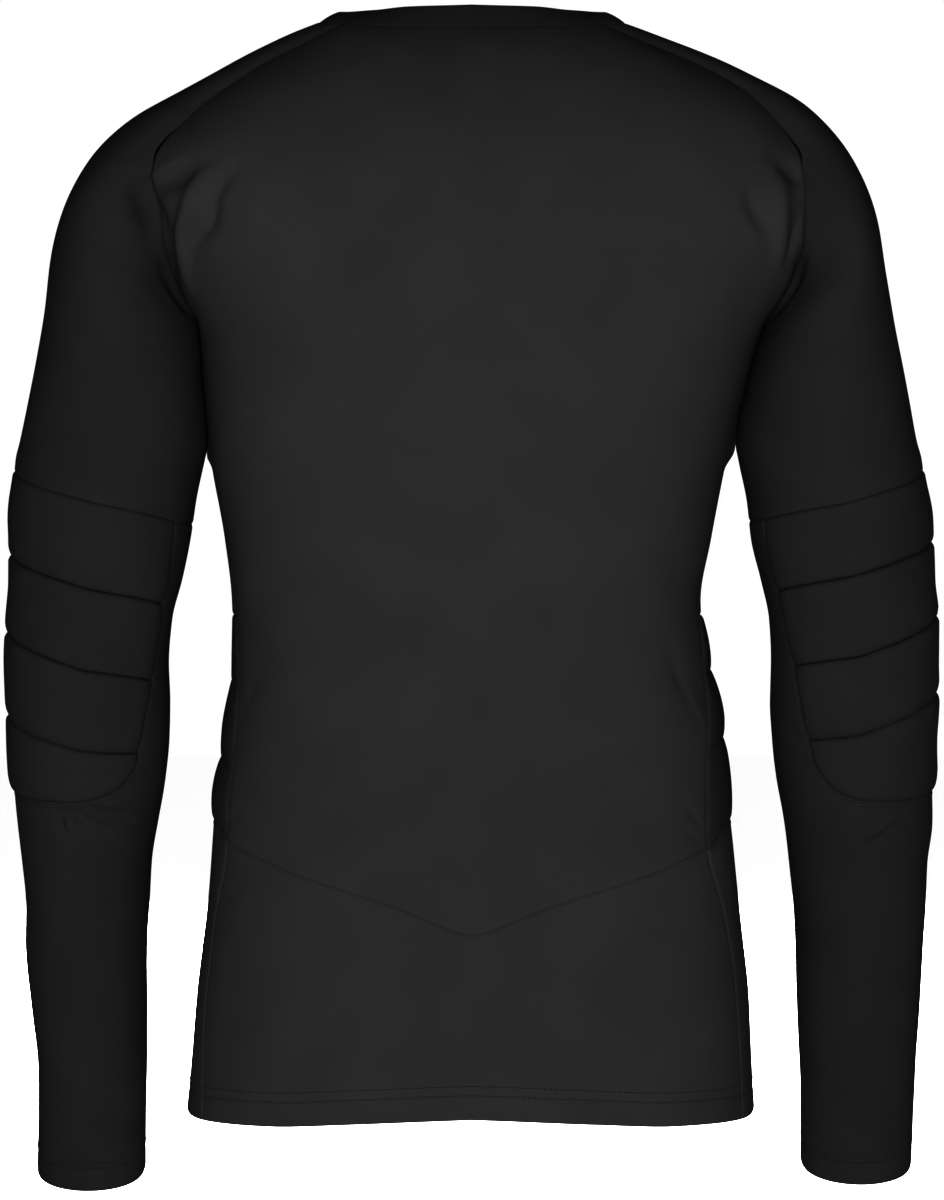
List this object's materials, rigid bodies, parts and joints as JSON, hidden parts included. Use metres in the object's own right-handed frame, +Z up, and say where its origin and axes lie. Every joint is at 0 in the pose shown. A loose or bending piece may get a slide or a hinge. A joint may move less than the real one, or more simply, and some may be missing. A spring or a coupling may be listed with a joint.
{
  "type": "padded compression shirt",
  "caption": "Close-fitting long-sleeved raglan shirt with quilted elbow and side pads, held open as worn, with nobody in it.",
  "frame": {"origin": "in the middle of the neck opening, level with the shoulder ends of the neck seam, where the wearer carries the shirt", "axes": "+Z up along the wearer's spine, the front faces -Y and the wearer's left is +X"},
  "size_m": [0.5899, 0.239, 0.7503],
  "materials": {
    "black_knit": "smooth stretch knit with a faint sheen",
    "black_padding": "quilted stretch knit over foam"
  },
  "bodies": {
    "root": {"neckband": "black_knit", "back_panel": "black_knit", "lower_back_panel": "black_knit", "front_panel": "black_knit", "side_pad_left": "black_padding", "side_pad_right": "black_padding", "upper_sleeve_left": "black_knit", "upper_sleeve_right": "black_knit", "elbow_pad_left": "black_padding", "elbow_pad_right": "black_padding", "lower_sleeve_left": "black_knit", "lower_sleeve_right": "black_knit"}
  },
  "joints": []
}
